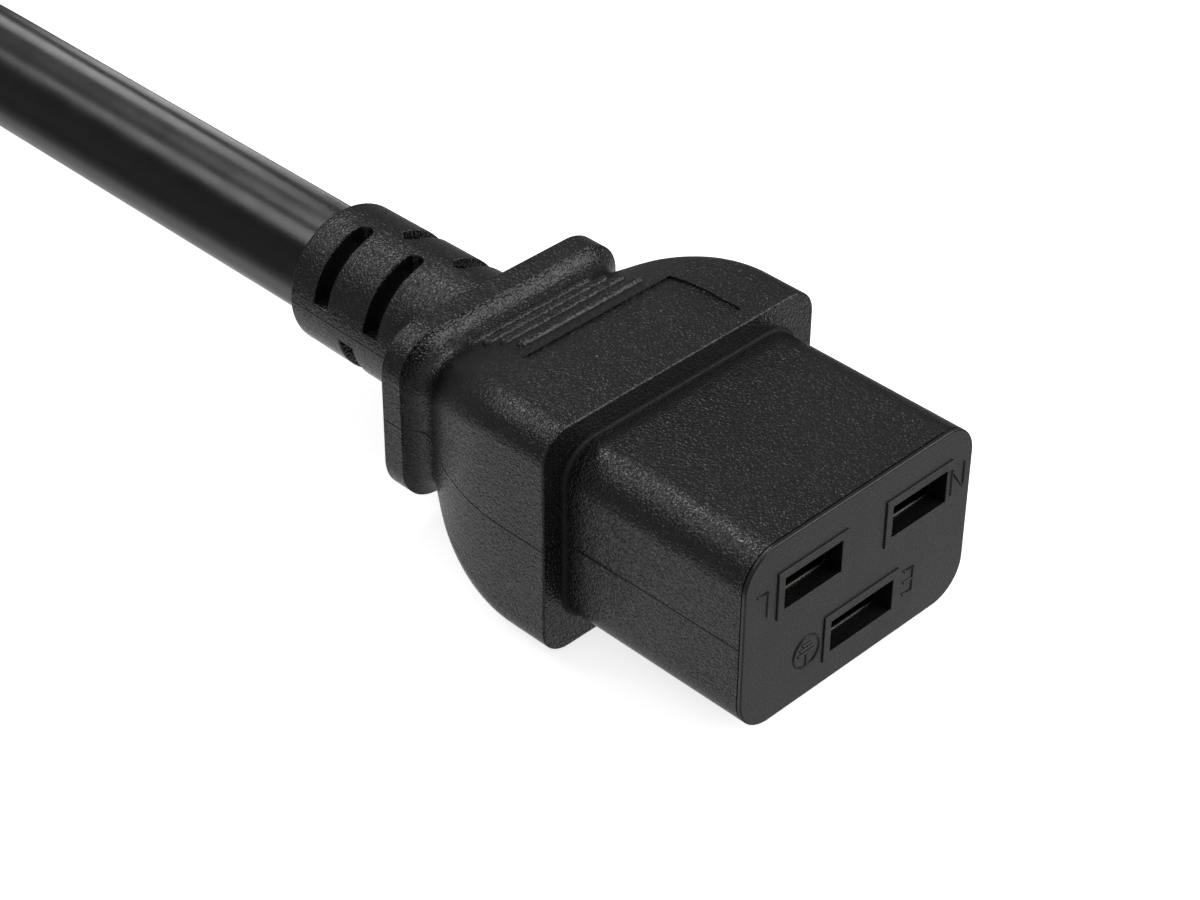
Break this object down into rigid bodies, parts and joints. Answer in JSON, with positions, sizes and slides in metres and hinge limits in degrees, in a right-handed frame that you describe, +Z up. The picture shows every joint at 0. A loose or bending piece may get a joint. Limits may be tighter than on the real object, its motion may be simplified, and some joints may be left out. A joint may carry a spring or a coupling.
{
  "type": "c19 power connector",
  "caption": "Moulded C19 power connector on a heavy round cord, with ribbed grip, flange and slotted strain relief; the free end is coiled and ends in a C20 plug.",
  "frame": {"origin": "under the middle of the connector, on the surface it stands on; the cord, its coil and its plug are left out", "axes": "+Z up, -Y out of the socket face, +X across the socket face towards the neutral slot"},
  "size_m": [0.1554, 0.273, 0.0231],
  "materials": {
    "soft_moulding": "fine spark-eroded grain, low sheen",
    "hard_moulding": "smooth, satin",
    "jacket": "smooth, half gloss",
    "inner_moulding": "natural, plain",
    "contact_metal": "tinned, bright",
    "copper": "bright strands",
    "core_brown": "smooth",
    "core_blue": "smooth",
    "core_green": "smooth, yellow stripe",
    "pin_metal": "nickel plated",
    "tie_fabric": "woven loop"
  },
  "bodies": {
    "root": {"overmould_housing": "soft_moulding", "contact_carrier": "hard_moulding", "contact_retainer": "hard_moulding", "line_contact": "contact_metal", "neutral_contact": "contact_metal", "earth_contact": "contact_metal", "inner_mould": "inner_moulding", "line_conductor": "copper", "neutral_conductor": "copper", "earth_conductor": "copper", "line_insulation": "core_brown", "neutral_insulation": "core_blue", "earth_insulation": "core_green", "cord_end": "jacket", "cord_lead": "jacket", "cord_tail": "jacket", "cord_coil": "jacket", "coil_tie": "tie_fabric", "plug_overmould": "soft_moulding", "plug_pin_carrier": "hard_moulding", "plug_line_pin": "pin_metal", "plug_neutral_pin": "pin_metal", "plug_earth_pin": "pin_metal", "plug_cord_end": "jacket"}
  },
  "joints": []
}
